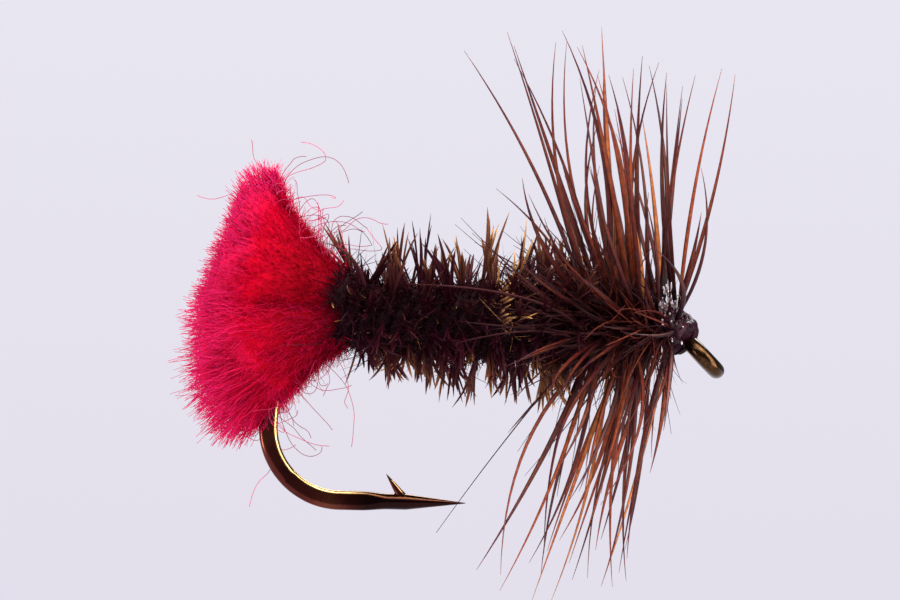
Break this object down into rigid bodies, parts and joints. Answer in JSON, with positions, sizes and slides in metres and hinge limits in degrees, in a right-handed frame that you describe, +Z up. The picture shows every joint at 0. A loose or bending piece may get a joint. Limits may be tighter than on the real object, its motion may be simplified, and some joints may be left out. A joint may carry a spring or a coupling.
{
  "type": "dry fly",
  "caption": "Dry fly with a red wool tag, a peacock herl body and a wound brown cock hackle, tied on a down-eye single hook.",
  "frame": {"origin": "centre of the hook's eye ring, where the leader is tied", "axes": "+X along the shank from the bend towards the eye, +Y to the fly's left, +Z up, so the point lies below the shank"},
  "size_m": [0.0167, 0.0185, 0.0181],
  "materials": {
    "bronzed_steel": "bronzed, glossy",
    "black_thread": "waxed tying thread",
    "head_cement": "clear varnish over black thread",
    "red_wool": "teased wool",
    "peacock_herl": "iridescent dark bronze",
    "brown_hackle": "glossy feather barbs"
  },
  "bodies": {
    "root": {"hook": "bronzed_steel", "thread_underbody": "black_thread", "tag_lashing": "black_thread", "shoulder_wraps": "black_thread", "hackle_wraps": "black_thread", "head_wraps": "black_thread", "whip_finish": "black_thread", "head_cement": "head_cement", "wool_ply_1": "red_wool", "wool_ply_2": "red_wool", "wool_ply_3": "red_wool", "wool_ply_4": "red_wool", "herl_strand_1": "peacock_herl", "herl_strand_2": "peacock_herl", "herl_strand_3": "peacock_herl", "herl_strand_4": "peacock_herl", "rear_hackle": "brown_hackle", "front_hackle": "brown_hackle", "stem_stub": "brown_hackle"}
  },
  "joints": []
}
